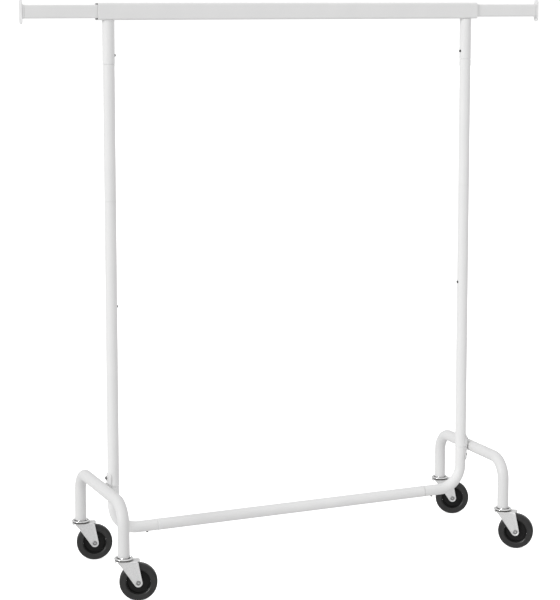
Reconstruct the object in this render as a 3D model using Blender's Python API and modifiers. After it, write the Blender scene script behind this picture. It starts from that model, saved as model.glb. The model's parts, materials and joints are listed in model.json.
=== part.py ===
"""Rolling clothes rack, in metres, +Z up, +X along the hanging rail, -Y towards the front.

A rectangular rail sleeve holds two sliding extension rods. Two sectioned uprights carry it, a bottom
bar joins them, and an inverted-U leg bolted outside each upright stands on two swivel casters.
"""

from math import acos, atan2, cos, hypot, pi, radians, sin

import bmesh
import bpy
from mathutils import Matrix, Vector

# Fits between neighbouring pieces
GAP = 0.0003
WELD = 0.000001

# Round steel tube
TUBE_R = 0.0165
CORNER_TUBE_R = 0.0162
TUBE_WALL = 0.0012
SWAGE_R = 0.0149
BAR_SWAGE_R = 0.0146
SWAGE_LENGTH = 0.045
SWAGE_SHOULDER = 0.003

# Uprights: heights of the seams and of the snap buttons
UPRIGHT_X = 0.555
FOOT_SEAM_Z = 0.2655
MID_SEAM_Z = 1.066
TOP_SEAM_Z = 1.4415
SPIGOT_BELOW = 0.320
SPIGOT_ABOVE = 0.060
MID_BUTTON_Z = 0.772
TOP_BUTTON_Z = 1.465

# Bottom bar and the bent corner tubes at its ends
BAR_Z = 0.138
BAR_SEAM_X = 0.429
BAR_BUTTON_X = 0.456
CORNER_BEND_R = 0.070

# Inverted-U legs and the saddles that hold them
LEG_SPACING = 0.386
LEG_TOP_Z = 0.2633
LEG_BOTTOM_Z = 0.1202
LEG_BEND_R = 0.058
SADDLE_WALL = 0.003
SADDLE_HEIGHT = 0.081
SADDLE_TAPER = 0.006
SADDLE_HALF_ANGLE = radians(55)
SADDLE_BOLT_RISE = 0.0255
BOLT_R = 0.0029
BOLT_HEAD_R = 0.005
BOLT_HEAD_HEIGHT = 0.0038
BOLT_TIP_X = 0.006
BOLT_FACE = 0.7
BOLT_EDGE = 0.6
BOLT_HOLE_R = 0.0034
NUT_PLATE = (0.003, 0.012, 0.066)
NUT_PLATE_X = 0.009

# Rail sleeve, guide bushings, extension rods and end caps
RAIL_TOP_Z = 1.6075
RAIL_HEIGHT = 0.047
RAIL_DEPTH = 0.028
RAIL_WALL = 0.0015
RAIL_CORNER_R = 0.006
RAIL_HALF_LENGTH = 0.588
ROD_HEIGHT = 0.0365
ROD_DEPTH = 0.020
ROD_WALL = 0.0012
ROD_CORNER_R = 0.004
ROD_LENGTH = 0.420
BUSHING_LENGTH = 0.040
BUSHING_RECESS = 0.004
CAP_FACE_X = 0.800
CAP_FLANGE = 0.003
CAP_HEIGHT = 0.066
CAP_DEPTH = 0.022
CAP_NECK = 0.006
CAP_PLUG = 0.020
CAP_STEP = 0.002
CAP_STEP_GROWTH = 0.007

# Snap buttons, measured outwards from the axis of their tube
BUTTON_R = 0.0034
BUTTON_TIP = 0.0190
BUTTON_DOME = 0.0014
BUTTON_FACE = 0.6
BUTTON_CROWN = 0.3
BUTTON_FLANGE_R = 0.0048
BUTTON_FLANGE = 0.0012
BUTTON_FLANGE_FACE = 0.0120
BUTTON_HOLE_R = 0.0039
SPRING_WIDTH = 0.008
SPRING_STRIP = 0.0007
SPRING_FOLD = 0.036
SPRING_NEAR_BEND = 0.62
SPRING_FAR_BEND = 0.70
SPRING_FAR_ARM = 1.12

# Swivel casters
WHEEL_R = 0.052
WHEEL_WIDTH = 0.025
TYRE_INNER_R = 0.033
TYRE_EDGE = 0.003
TYRE_CROWN = 0.001
HUB_WIDTH = 0.029
HUB_BOSS_R = 0.010
HUB_WEB = 0.008
HUB_RIM = 0.004
AXLE_R = 0.004
AXLE_HEAD_R = 0.0062
AXLE_HEAD = 0.0032
AXLE_FACE = 0.8
AXLE_EDGE = 0.7
TRAIL = 0.039
FORK_HALF_WIDTH = 0.018
FORK_SHEET = 0.0025
FORK_TIP_R = 0.0115
# Front edge of the fork's cheek, along the trail and up, from the crown down to its knee
CHEEK_FRONT_X = -0.0150
CHEEK_FRONT = ((CHEEK_FRONT_X, 0.1065), (-0.0100, 0.1025), (-0.0012, 0.0895))
CHEEK_REAR_TOP = (0.0011, 0.106)
CHEEK_REAR_X = 0.0026
TIP_STEPS = 7
CROWN_TOP_Z = 0.1120
CROWN_R = 0.025
CROWN_REAR = 0.045
CROWN_CORNER_R = 0.005
CROWN_STEPS = 12
RACE_R = 0.0265
RACE_TOP_Z = 0.1195
RACE_BOTTOM_Z = 0.1128
RACE_BEVEL = 0.0025
RACE_FACE = 0.94
RACE_FOOT = 0.95
KING_PIN_R = 0.005
KING_RIVET_R = 0.008
KING_RIVET_BOTTOM_Z = 0.1066
STEM_TOP_Z = 0.158
STEM_BEVEL = 0.003
CASTERS = (
    ("front_left", -1, -1, radians(-20)),
    ("rear_left", -1, 1, radians(-15)),
    ("front_right", 1, -1, radians(-36)),
    ("rear_right", 1, 1, radians(-24)),
)

# Fineness of the round shapes
TUBE_SIDES = 16
BEND_STEP = radians(18)
TYRE_STEPS = 28
TURNED_STEPS = 16
SMALL_STEPS = 12
ARC_STEPS = 3

LEG_X = TUBE_R + GAP + SADDLE_WALL + GAP + TUBE_R
RAIL_Z = RAIL_TOP_Z - RAIL_HEIGHT / 2
RAIL_BOTTOM_Z = RAIL_TOP_Z - RAIL_HEIGHT

# Turns a shape drawn in XY and extruded along Z so that it runs along X, with its drawn Y upwards.
ALONG_X = Matrix(((0, 0, 1, 0), (1, 0, 0, 0), (0, 1, 0, 0), (0, 0, 0, 1)))
# Turns a shape drawn in XY so that it stands in XZ.
UPRIGHT = Matrix.Rotation(pi / 2, 4, "X")

MATERIALS = {
    "rail_paint": ((0.86, 0.86, 0.86), 0.35, 0.0),
    "rod_paint": ((0.86, 0.86, 0.86), 0.35, 0.0),
    "upright_paint": ((0.87, 0.87, 0.87), 0.35, 0.0),
    "leg_paint": ((0.87, 0.87, 0.87), 0.35, 0.0),
    "cap_plastic": ((0.85, 0.85, 0.84), 0.45, 0.0),
    "bushing_plastic": ((0.16, 0.16, 0.16), 0.55, 0.0),
    "button_steel": ((0.45, 0.45, 0.46), 0.35, 1.0),
    "spring_steel": ((0.40, 0.40, 0.42), 0.35, 1.0),
    "bolt_steel": ((0.50, 0.50, 0.51), 0.35, 1.0),
    "race_chrome": ((0.80, 0.80, 0.80), 0.12, 1.0),
    "fork_zinc": ((0.62, 0.62, 0.63), 0.38, 1.0),
    "tyre_rubber": ((0.035, 0.035, 0.036), 0.55, 0.0),
    "hub_plastic": ((0.022, 0.022, 0.022), 0.50, 0.0),
    "axle_steel": ((0.42, 0.42, 0.43), 0.35, 1.0),
}


def clear_scene():
    for obj in list(bpy.data.objects):
        bpy.data.objects.remove(obj)


def new_collection(name):
    made = bpy.data.collections.new(name)
    bpy.context.scene.collection.children.link(made)
    return made


def new_material(name):
    colour, roughness, metallic = MATERIALS[name]
    made = bpy.data.materials.new(name)
    made.use_nodes = True
    shader = made.node_tree.nodes["Principled BSDF"]
    shader.inputs["Base Color"].default_value = (*colour, 1)
    shader.inputs["Roughness"].default_value = roughness
    shader.inputs["Metallic"].default_value = metallic
    made.diffuse_color = (*colour, 1)
    return made


# Shapes, each returned as a mesh in its own local frame


def baked(obj):
    """The object's evaluated mesh with its caps welded on. The object is removed."""
    graph = bpy.context.evaluated_depsgraph_get()
    mesh = bpy.data.meshes.new_from_object(obj.evaluated_get(graph))
    work = bmesh.new()
    work.from_mesh(mesh)
    bmesh.ops.remove_doubles(work, verts=work.verts, dist=WELD)
    work.to_mesh(mesh)
    work.free()
    bpy.data.objects.remove(obj)
    return mesh


def workpiece(data):
    obj = bpy.data.objects.new("workpiece", data)
    workshop.objects.link(obj)
    return obj


def add_points(curve, points, scales=None, closed=False):
    spline = curve.splines.new("POLY")
    spline.points.add(len(points) - 1)
    for index, (made, place) in enumerate(zip(spline.points, points)):
        made.co = (*Vector(place).to_3d(), 1)
        made.radius = scales[index] if scales else 1
    spline.use_cyclic_u = closed


def hollow_tube(points, radius, wall, scales=None):
    """An open-ended round tube along the points. A point's scale narrows it there."""
    curve = bpy.data.curves.new("tube", "CURVE")
    curve.dimensions = "3D"
    curve.bevel_depth = radius
    curve.bevel_resolution = (TUBE_SIDES - 4) // 2
    add_points(curve, points, scales)
    obj = workpiece(baked(workpiece(curve)))
    shell = obj.modifiers.new("Wall", "SOLIDIFY")
    shell.thickness = wall
    shell.offset = -1
    return baked(obj)


def extruded(outlines, thickness):
    """A plate centred on the XY plane. Outlines after the first are its holes."""
    curve = bpy.data.curves.new("plate", "CURVE")
    curve.dimensions = "2D"
    curve.fill_mode = "BOTH"
    curve.extrude = thickness / 2
    for outline in outlines:
        add_points(curve, outline, closed=True)
    return baked(workpiece(curve))


def ribbon(points, width, thickness):
    """A bent strip: the points in XY are its edge, and it is as wide as width along Z."""
    curve = bpy.data.curves.new("ribbon", "CURVE")
    curve.dimensions = "3D"
    curve.extrude = width / 2
    add_points(curve, points)
    obj = workpiece(baked(workpiece(curve)))
    shell = obj.modifiers.new("Strip", "SOLIDIFY")
    shell.thickness = thickness
    shell.offset = 0
    return baked(obj)


def turned(profile, steps=TURNED_STEPS):
    """A solid turned about Z. The (radius, height) profile runs down its outer side."""
    mesh = bpy.data.meshes.new("turned")
    work = bmesh.new()
    corners = [work.verts.new((radius, 0, height)) for radius, height in profile]
    for start, end in zip(corners, corners[1:]):
        work.edges.new((start, end))
    if profile[0][0] > 0:
        work.edges.new((corners[-1], corners[0]))
    work.to_mesh(mesh)
    work.free()
    obj = workpiece(mesh)
    screw = obj.modifiers.new("Turn", "SCREW")
    screw.steps = steps
    screw.render_steps = steps
    screw.use_merge_vertices = True
    screw.merge_threshold = WELD
    return baked(obj)


def box(size, centre=(0, 0, 0)):
    work = bmesh.new()
    bmesh.ops.create_cube(work, size=1, matrix=Matrix.Translation(centre) @ Matrix.Diagonal((*size, 1)))
    mesh = bpy.data.meshes.new("box")
    work.to_mesh(mesh)
    work.free()
    return mesh


def drill(start, end, radius):
    """A solid cylinder between two points, used to cut a hole."""
    start = Vector(start)
    along = Vector(end) - start
    turn = Vector((0, 0, 1)).rotation_difference(along).to_matrix().to_4x4()
    work = bmesh.new()
    bmesh.ops.create_cone(
        work,
        cap_ends=True,
        segments=SMALL_STEPS,
        radius1=radius,
        radius2=radius,
        depth=along.length,
        matrix=Matrix.Translation(start + along / 2) @ turn,
    )
    mesh = bpy.data.meshes.new("drill")
    work.to_mesh(mesh)
    work.free()
    return mesh


def combined(mesh, operation, tools):
    """The mesh after an exact Boolean with each tool in turn."""
    base = workpiece(mesh)
    others = [workpiece(tool) for tool in tools]
    for other in others:
        step = base.modifiers.new(operation, "BOOLEAN")
        step.operation = operation
        step.solver = "EXACT"
        step.object = other
    result = baked(base)
    for other in others:
        bpy.data.objects.remove(other)
    return result


def moved(mesh, matrix):
    mesh.transform(matrix)
    return mesh


# Outlines and paths


def arc(centre, radius, start, end, steps=ARC_STEPS):
    turns = [start + (end - start) * index / steps for index in range(steps + 1)]
    return [(centre[0] + radius * cos(turn), centre[1] + radius * sin(turn)) for turn in turns]


def rounded_rectangle(width, height, radius):
    corners = ((1, 1, 0), (-1, 1, pi / 2), (-1, -1, pi), (1, -1, 3 * pi / 2))
    outline = []
    for x_sign, y_sign, turn in corners:
        centre = (x_sign * (width / 2 - radius), y_sign * (height / 2 - radius))
        outline += arc(centre, radius, turn, turn + pi / 2)
    return outline


def tangent_angle(centre, radius, point, side):
    """Where, as an angle on the circle, the line from the point touches it."""
    across, up = point[0] - centre[0], point[1] - centre[1]
    return atan2(up, across) + side * acos(radius / hypot(across, up))


def quarter_bend(centre, first, second, radius):
    """Points round a quarter bend, from centre + first * radius to centre + second * radius."""
    steps = round(pi / 2 / BEND_STEP)
    turns = [pi / 2 * index / steps for index in range(steps + 1)]
    return [centre + (first * cos(turn) + second * sin(turn)) * radius for turn in turns]


# The pieces, each built once. +X is away from the middle of the rack.


def button_hole(axis_point, outwards, reach):
    return drill(axis_point, Vector(axis_point) + Vector(outwards) * reach, BUTTON_HOLE_R)


def rail_sleeve_mesh():
    outer = rounded_rectangle(RAIL_DEPTH, RAIL_HEIGHT, RAIL_CORNER_R)
    inner = rounded_rectangle(
        RAIL_DEPTH - 2 * RAIL_WALL, RAIL_HEIGHT - 2 * RAIL_WALL, RAIL_CORNER_R - RAIL_WALL
    )
    return moved(extruded((outer, inner), 2 * RAIL_HALF_LENGTH), ALONG_X)


def bushing_mesh():
    slack = RAIL_WALL + GAP
    outer = rounded_rectangle(RAIL_DEPTH - 2 * slack, RAIL_HEIGHT - 2 * slack, RAIL_CORNER_R - slack)
    inner = rounded_rectangle(ROD_DEPTH + 2 * GAP, ROD_HEIGHT + 2 * GAP, ROD_CORNER_R + GAP)
    return moved(extruded((outer, inner), BUSHING_LENGTH), ALONG_X)


def rod_mesh():
    outer = rounded_rectangle(ROD_DEPTH, ROD_HEIGHT, ROD_CORNER_R)
    inner = rounded_rectangle(
        ROD_DEPTH - 2 * ROD_WALL, ROD_HEIGHT - 2 * ROD_WALL, ROD_CORNER_R - ROD_WALL
    )
    return moved(extruded((outer, inner), ROD_LENGTH), ALONG_X)


def end_cap_mesh():
    """Flange, step, neck and plug, with the outer face of the flange at X = 0."""

    def slab(width, height, radius, front, back):
        solid = moved(extruded((rounded_rectangle(width, height, radius),), back - front), ALONG_X)
        return moved(solid, Matrix.Translation(((front + back) / 2, 0, 0)))

    neck_end = -CAP_FLANGE - CAP_NECK
    slack = ROD_WALL + GAP
    flange = slab(CAP_DEPTH, CAP_HEIGHT, CAP_DEPTH / 2 - WELD, -CAP_FLANGE, 0)
    step = slab(
        CAP_DEPTH - 2 * GAP,
        ROD_HEIGHT + CAP_STEP_GROWTH,
        ROD_CORNER_R + CAP_STEP,
        -CAP_FLANGE - CAP_STEP,
        -CAP_FLANGE / 2,
    )
    neck = slab(ROD_DEPTH, ROD_HEIGHT, ROD_CORNER_R, neck_end, -CAP_FLANGE / 2)
    plug = slab(
        ROD_DEPTH - 2 * slack,
        ROD_HEIGHT - 2 * slack,
        ROD_CORNER_R - slack,
        neck_end - CAP_PLUG,
        neck_end + CAP_STEP,
    )
    return combined(flange, "UNION", (step, neck, plug))


def stub_mesh():
    length = RAIL_BOTTOM_Z - TOP_SEAM_Z - 2 * GAP
    tube = hollow_tube(((0, 0, 0), (0, 0, length)), TUBE_R, TUBE_WALL)
    hole = button_hole((0, 0, TOP_BUTTON_Z - TOP_SEAM_Z - GAP), (-1, 0, 0), 2 * TUBE_R)
    return combined(tube, "DIFFERENCE", (hole,))


def upper_upright_mesh():
    length = TOP_SEAM_Z - MID_SEAM_Z
    points = [(0, 0, z) for z in (0, length - SWAGE_SHOULDER, length, length + SWAGE_LENGTH)]
    narrow = SWAGE_R / TUBE_R
    tube = hollow_tube(points, TUBE_R, TUBE_WALL, (1, 1, narrow, narrow))
    hole = button_hole((0, 0, TOP_BUTTON_Z - MID_SEAM_Z), (-1, 0, 0), 2 * TUBE_R)
    return combined(tube, "DIFFERENCE", (hole,))


def spigot_mesh():
    tube = hollow_tube(((0, 0, 0), (0, 0, SPIGOT_BELOW + SPIGOT_ABOVE)), SWAGE_R, TUBE_WALL)
    height = MID_BUTTON_Z - MID_SEAM_Z + SPIGOT_BELOW
    return combined(tube, "DIFFERENCE", (button_hole((0, 0, height), (-1, 0, 0), 2 * TUBE_R),))


def lower_upright_mesh():
    length = MID_SEAM_Z - GAP - FOOT_SEAM_Z
    tube = hollow_tube(((0, 0, 0), (0, 0, length)), TUBE_R, TUBE_WALL)
    button = button_hole((0, 0, MID_BUTTON_Z - FOOT_SEAM_Z), (-1, 0, 0), 2 * TUBE_R)
    bolt_z = LEG_TOP_Z + SADDLE_BOLT_RISE - FOOT_SEAM_Z
    bolt = drill((0, 0, bolt_z), (2 * TUBE_R, 0, bolt_z), BOLT_HOLE_R)
    return combined(tube, "DIFFERENCE", (button, bolt))


def corner_tube_mesh():
    """Drawn from its swaged top, inside the lower upright, to its end at the bottom bar."""
    narrow = SWAGE_R / CORNER_TUBE_R
    seam = FOOT_SEAM_Z - GAP
    points = [
        Vector((0, 0, seam + SWAGE_LENGTH)),
        Vector((0, 0, seam + GAP)),
        Vector((0, 0, seam - SWAGE_SHOULDER)),
    ]
    centre = Vector((-CORNER_BEND_R, 0, BAR_Z + CORNER_BEND_R))
    points += quarter_bend(centre, Vector((1, 0, 0)), Vector((0, 0, -1)), CORNER_BEND_R)
    points.append(Vector((BAR_SEAM_X - UPRIGHT_X, 0, BAR_Z)))
    scales = [narrow, narrow] + [1] * (len(points) - 2)
    tube = hollow_tube(points, CORNER_TUBE_R, TUBE_WALL, scales)
    drills = [button_hole((BAR_BUTTON_X - UPRIGHT_X, 0, BAR_Z), (0, 0, -1), 2 * TUBE_R)]
    for rise in (-SADDLE_BOLT_RISE, SADDLE_BOLT_RISE):
        height = LEG_TOP_Z + rise
        drills.append(drill((0, 0, height), (2 * TUBE_R, 0, height), BOLT_HOLE_R))
    return combined(tube, "DIFFERENCE", drills)


def bottom_bar_mesh():
    narrow = BAR_SWAGE_R / TUBE_R
    stations = [BAR_SEAM_X - GAP - SWAGE_SHOULDER, BAR_SEAM_X - GAP, BAR_SEAM_X + SWAGE_LENGTH]
    stations = [-x for x in reversed(stations)] + stations
    points = [(x, 0, 0) for x in stations]
    tube = hollow_tube(points, TUBE_R, TUBE_WALL, (narrow, narrow, 1, 1, narrow, narrow))
    drills = [button_hole((side * BAR_BUTTON_X, 0, 0), (0, 0, -1), 2 * TUBE_R) for side in (-1, 1)]
    return combined(tube, "DIFFERENCE", drills)


def leg_mesh():
    half = LEG_SPACING / 2
    up, front, back = Vector((0, 0, 1)), Vector((0, -1, 0)), Vector((0, 1, 0))
    bend_z = LEG_TOP_Z - LEG_BEND_R
    front_centre = Vector((0, LEG_BEND_R - half, bend_z))
    back_centre = Vector((0, half - LEG_BEND_R, bend_z))
    points = [Vector((0, -half, LEG_BOTTOM_Z))]
    points += quarter_bend(front_centre, front, up, LEG_BEND_R)
    points += quarter_bend(back_centre, up, back, LEG_BEND_R)
    points.append(Vector((0, half, LEG_BOTTOM_Z)))
    return hollow_tube(points, TUBE_R, TUBE_WALL)


def saddle_mesh():
    """A plate curved round the outer side of the upright, thinned towards its two ends."""
    inner = TUBE_R + GAP
    outer = inner + SADDLE_WALL
    half = SADDLE_HEIGHT / 2
    section = ((inner, half), (outer, half - SADDLE_TAPER), (outer, SADDLE_TAPER - half), (inner, -half))
    work = bmesh.new()
    turn = Matrix.Rotation(-SADDLE_HALF_ANGLE, 4, "Z")
    face = work.faces.new([work.verts.new(turn @ Vector((x, 0, z))) for x, z in section])
    bmesh.ops.spin(
        work,
        geom=[face, *face.edges, *face.verts],
        axis=(0, 0, 1),
        angle=2 * SADDLE_HALF_ANGLE,
        steps=8,
    )
    bmesh.ops.recalc_face_normals(work, faces=work.faces)
    mesh = bpy.data.meshes.new("saddle")
    work.to_mesh(mesh)
    work.free()
    rises = (-SADDLE_BOLT_RISE, SADDLE_BOLT_RISE)
    return combined(mesh, "DIFFERENCE", [drill((0, 0, z), (2 * outer, 0, z), BOLT_HOLE_R) for z in rises])


def bolt_mesh():
    """A round-headed screw along +X, from its tip inside the tube to its head on the saddle."""
    seat = TUBE_R + GAP + SADDLE_WALL + GAP
    profile = (
        (0, seat + BOLT_HEAD_HEIGHT),
        (BOLT_HEAD_R * BOLT_FACE, seat + BOLT_HEAD_HEIGHT),
        (BOLT_HEAD_R, seat + BOLT_HEAD_HEIGHT * BOLT_EDGE),
        (BOLT_HEAD_R, seat),
        (BOLT_R, seat),
        (BOLT_R, BOLT_TIP_X),
        (0, BOLT_TIP_X),
    )
    return moved(turned(profile, SMALL_STEPS), Matrix.Rotation(pi / 2, 4, "Y"))


def nut_plate_mesh():
    rises = (-SADDLE_BOLT_RISE, SADDLE_BOLT_RISE)
    holes = [drill((-TUBE_R, 0, z), (TUBE_R, 0, z), BOLT_R + GAP) for z in rises]
    return combined(box(NUT_PLATE), "DIFFERENCE", holes)


def button_mesh():
    """A domed pin with a retaining flange, pointing along -X from the axis of its tube."""
    profile = (
        (0, BUTTON_TIP),
        (BUTTON_R * BUTTON_FACE, BUTTON_TIP - BUTTON_DOME * BUTTON_CROWN),
        (BUTTON_R, BUTTON_TIP - BUTTON_DOME),
        (BUTTON_R, BUTTON_FLANGE_FACE),
        (BUTTON_FLANGE_R, BUTTON_FLANGE_FACE),
        (BUTTON_FLANGE_R, BUTTON_FLANGE_FACE - BUTTON_FLANGE),
        (0, BUTTON_FLANGE_FACE - BUTTON_FLANGE),
    )
    return moved(turned(profile, SMALL_STEPS), Matrix.Rotation(-pi / 2, 4, "Y"))


def spring_mesh():
    """A folded leaf behind the button, its fold along -Z, its far arm against the tube wall."""
    front = BUTTON_FLANGE_FACE - BUTTON_FLANGE - GAP - SPRING_STRIP / 2
    rest = SPRING_FOLD / 2
    points = (
        (-front, BUTTON_FLANGE_R),
        (-front, -BUTTON_FLANGE_R),
        (-front * SPRING_NEAR_BEND, -rest),
        (0, -SPRING_FOLD),
        (front * SPRING_FAR_BEND, -rest),
        (front * SPRING_FAR_ARM, -BUTTON_FLANGE_R),
        (front * SPRING_FAR_ARM, BUTTON_FLANGE_R),
    )
    return moved(ribbon(points, SPRING_WIDTH, SPRING_STRIP), UPRIGHT)


def tyre_mesh():
    half = WHEEL_WIDTH / 2
    profile = (
        (TYRE_INNER_R, half),
        (WHEEL_R - TYRE_EDGE, half),
        (WHEEL_R - TYRE_CROWN, half - TYRE_EDGE),
        (WHEEL_R, 0),
        (WHEEL_R - TYRE_CROWN, TYRE_EDGE - half),
        (WHEEL_R - TYRE_EDGE, -half),
        (TYRE_INNER_R, -half),
    )
    return moved(turned(profile, TYRE_STEPS), UPRIGHT)


def hub_mesh():
    """A rim, a thin web and a long boss on the axle."""
    rim_r = TYRE_INNER_R - 2 * GAP
    rim, web, boss = WHEEL_WIDTH / 2 - TYRE_EDGE / 2, HUB_WEB / 2, HUB_WIDTH / 2
    upper = (
        (AXLE_R + GAP, boss),
        (HUB_BOSS_R, boss),
        (HUB_BOSS_R, web),
        (rim_r - HUB_RIM, web),
        (rim_r - HUB_RIM, rim),
        (rim_r, rim),
    )
    profile = upper + tuple((radius, -height) for radius, height in reversed(upper))
    return moved(turned(profile), UPRIGHT)


def axle_mesh():
    seat = FORK_HALF_WIDTH + GAP
    upper = (
        (0, seat + AXLE_HEAD),
        (AXLE_HEAD_R * AXLE_FACE, seat + AXLE_HEAD),
        (AXLE_HEAD_R, seat + AXLE_HEAD * AXLE_EDGE),
        (AXLE_HEAD_R, seat),
        (AXLE_R, seat),
    )
    profile = upper + tuple((radius, -height) for radius, height in reversed(upper))
    return moved(turned(profile, SMALL_STEPS), UPRIGHT)


def caster_stem_mesh():
    """Grip plug inside the leg, upper ball race, and the king pin that the fork turns on."""
    plug_r = TUBE_R - TUBE_WALL - GAP * 2
    seat = CROWN_TOP_Z - FORK_SHEET - GAP
    profile = (
        (0, STEM_TOP_Z),
        (plug_r - STEM_BEVEL, STEM_TOP_Z),
        (plug_r, STEM_TOP_Z - STEM_BEVEL),
        (plug_r, RACE_TOP_Z),
        (RACE_R * RACE_FACE, RACE_TOP_Z),
        (RACE_R, RACE_TOP_Z - RACE_BEVEL),
        (RACE_R * RACE_FOOT, RACE_BOTTOM_Z),
        (KING_PIN_R, RACE_BOTTOM_Z),
        (KING_PIN_R, seat),
        (KING_RIVET_R, seat),
        (KING_RIVET_R * RACE_FACE, KING_RIVET_BOTTOM_Z),
        (0, KING_RIVET_BOTTOM_Z),
    )
    return turned(profile)


def fork_mesh():
    """A round crown with a tail over the wheel, and two tapering cheeks down to the axle."""
    meet = acos(FORK_HALF_WIDTH / CROWN_R)
    crown = arc((0, 0), CROWN_R, pi / 2 - meet, 3 * pi / 2 + meet, CROWN_STEPS)
    tail = CROWN_REAR - CROWN_CORNER_R
    shoulder = FORK_HALF_WIDTH - CROWN_CORNER_R
    crown += arc((tail, -shoulder), CROWN_CORNER_R, -pi / 2, 0)
    crown += arc((tail, shoulder), CROWN_CORNER_R, 0, pi / 2)
    crown_z = CROWN_TOP_Z - FORK_SHEET / 2
    plate = moved(extruded((crown,), FORK_SHEET), Matrix.Translation((0, 0, crown_z)))

    axle = (TRAIL, WHEEL_R)
    rear_top = (TRAIL + CHEEK_REAR_TOP[0], CHEEK_REAR_TOP[1])
    front_touch = tangent_angle(axle, FORK_TIP_R, CHEEK_FRONT[-1], 1)
    rear_touch = tangent_angle(axle, FORK_TIP_R, rear_top, -1) + 2 * pi
    cheek = [(CHEEK_FRONT_X, crown_z), *CHEEK_FRONT]
    cheek += arc(axle, FORK_TIP_R, front_touch, rear_touch, TIP_STEPS)
    cheek += [rear_top, (TRAIL + CHEEK_REAR_X, crown_z)]
    middle = FORK_HALF_WIDTH - FORK_SHEET / 2
    cheeks = [
        moved(moved(extruded((cheek,), FORK_SHEET), UPRIGHT), Matrix.Translation((0, side * middle, 0)))
        for side in (-1, 1)
    ]
    body = combined(plate, "UNION", cheeks)
    pin_hole = drill((0, 0, crown_z - FORK_SHEET), (0, 0, crown_z + FORK_SHEET), KING_PIN_R + 2 * GAP)
    reach = 2 * FORK_HALF_WIDTH
    axle_hole = drill((TRAIL, -reach, WHEEL_R), (TRAIL, reach, WHEEL_R), AXLE_R + GAP)
    return combined(body, "DIFFERENCE", (pin_hole, axle_hole))


# Assembly


def empty(name, parent, location=(0, 0, 0), turn=0):
    made = bpy.data.objects.new(name, None)
    rack.objects.link(made)
    made.parent = parent
    made.location = location
    made.rotation_euler = (0, 0, turn)
    return made


def place(name, mesh, material, parent, location=(0, 0, 0), rotation=(0, 0, 0)):
    """A node of the rack. Copies of a piece share its mesh."""
    if not mesh.materials:
        mesh.materials.append(paint[material])
        mesh.shade_smooth()
        mesh.set_sharp_from_angle(angle=radians(38))
    made = bpy.data.objects.new(name, mesh)
    rack.objects.link(made)
    made.parent = parent
    made.location = location
    made.rotation_euler = rotation
    return made


def build_rail(root):
    place("rail_sleeve", rail_sleeve_mesh(), "rail_paint", root, (0, 0, RAIL_Z))
    bushing, rod, cap = bushing_mesh(), rod_mesh(), end_cap_mesh()
    rod_end = CAP_FACE_X - CAP_FLANGE - CAP_NECK - GAP
    for side, name in ((-1, "left"), (1, "right")):
        turn = 0 if side > 0 else pi
        bushing_x = RAIL_HALF_LENGTH - BUSHING_RECESS - BUSHING_LENGTH / 2
        place("rail_bushing_" + name, bushing, "bushing_plastic", root, (side * bushing_x, 0, RAIL_Z))
        slide = empty("rod_slide_" + name, root, (0, 0, RAIL_Z), turn)
        place("extension_rod_" + name, rod, "rod_paint", slide, (rod_end - ROD_LENGTH / 2, 0, 0))
        place("end_cap_" + name, cap, "cap_plastic", slide, (CAP_FACE_X, 0, 0))


def build_sides(root):
    """Each side's empty is on its upright's axis at floor level, turned so that its +X is outwards."""
    tubes = (
        ("rail_stub_", stub_mesh(), TOP_SEAM_Z + GAP),
        ("upright_upper_", upper_upright_mesh(), MID_SEAM_Z),
        ("upright_spigot_", spigot_mesh(), MID_SEAM_Z - SPIGOT_BELOW),
        ("upright_lower_", lower_upright_mesh(), FOOT_SEAM_Z),
        ("corner_tube_", corner_tube_mesh(), 0),
    )
    leg, saddle, bolt, nut_plate = leg_mesh(), saddle_mesh(), bolt_mesh(), nut_plate_mesh()
    button, spring = button_mesh(), spring_mesh()
    downwards = (0, -pi / 2, 0)
    for side, name in ((-1, "left"), (1, "right")):
        frame = empty("side_" + name, root, (side * UPRIGHT_X, 0, 0), 0 if side > 0 else pi)
        for prefix, mesh, height in tubes:
            place(prefix + name, mesh, "upright_paint", frame, (0, 0, height))
        place("leg_" + name, leg, "leg_paint", frame, (LEG_X, 0, 0))
        place("leg_saddle_" + name, saddle, "leg_paint", frame, (0, 0, LEG_TOP_Z))
        for level, rise in (("upper", SADDLE_BOLT_RISE), ("lower", -SADDLE_BOLT_RISE)):
            bolt_name = "saddle_bolt_" + level + "_" + name
            place(bolt_name, bolt, "bolt_steel", frame, (0, 0, LEG_TOP_Z + rise))
        plate_place = (NUT_PLATE_X, 0, LEG_TOP_Z)
        place("saddle_nut_plate_" + name, nut_plate, "bolt_steel", frame, plate_place)
        bar_end = (BAR_BUTTON_X - UPRIGHT_X, 0, BAR_Z)
        buttons = (
            ("top_", (0, 0, TOP_BUTTON_Z), (0, 0, 0), (0, 0, 0)),
            ("middle_", (0, 0, MID_BUTTON_Z), (0, 0, 0), (pi, 0, 0)),
            ("bar_", bar_end, downwards, downwards),
        )
        for level, location, pin_turn, spring_turn in buttons:
            place("snap_button_" + level + name, button, "button_steel", frame, location, pin_turn)
            place("button_spring_" + level + name, spring, "spring_steel", frame, location, spring_turn)


def build_casters(root):
    stem, fork, tyre = caster_stem_mesh(), fork_mesh(), tyre_mesh()
    hub, axle = hub_mesh(), axle_mesh()
    for name, x_side, y_side, swivel in CASTERS:
        foot = (x_side * (UPRIGHT_X + LEG_X), y_side * LEG_SPACING / 2, 0)
        place("caster_stem_" + name, stem, "race_chrome", root, foot)
        turning = empty("swivel_axis_" + name, root, foot, swivel)
        place("caster_fork_" + name, fork, "fork_zinc", turning)
        place("caster_axle_" + name, axle, "axle_steel", turning, (TRAIL, 0, WHEEL_R))
        rolling = empty("wheel_axis_" + name, turning, (TRAIL, 0, WHEEL_R))
        place("caster_tyre_" + name, tyre, "tyre_rubber", rolling)
        place("caster_hub_" + name, hub, "hub_plastic", rolling)


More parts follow.
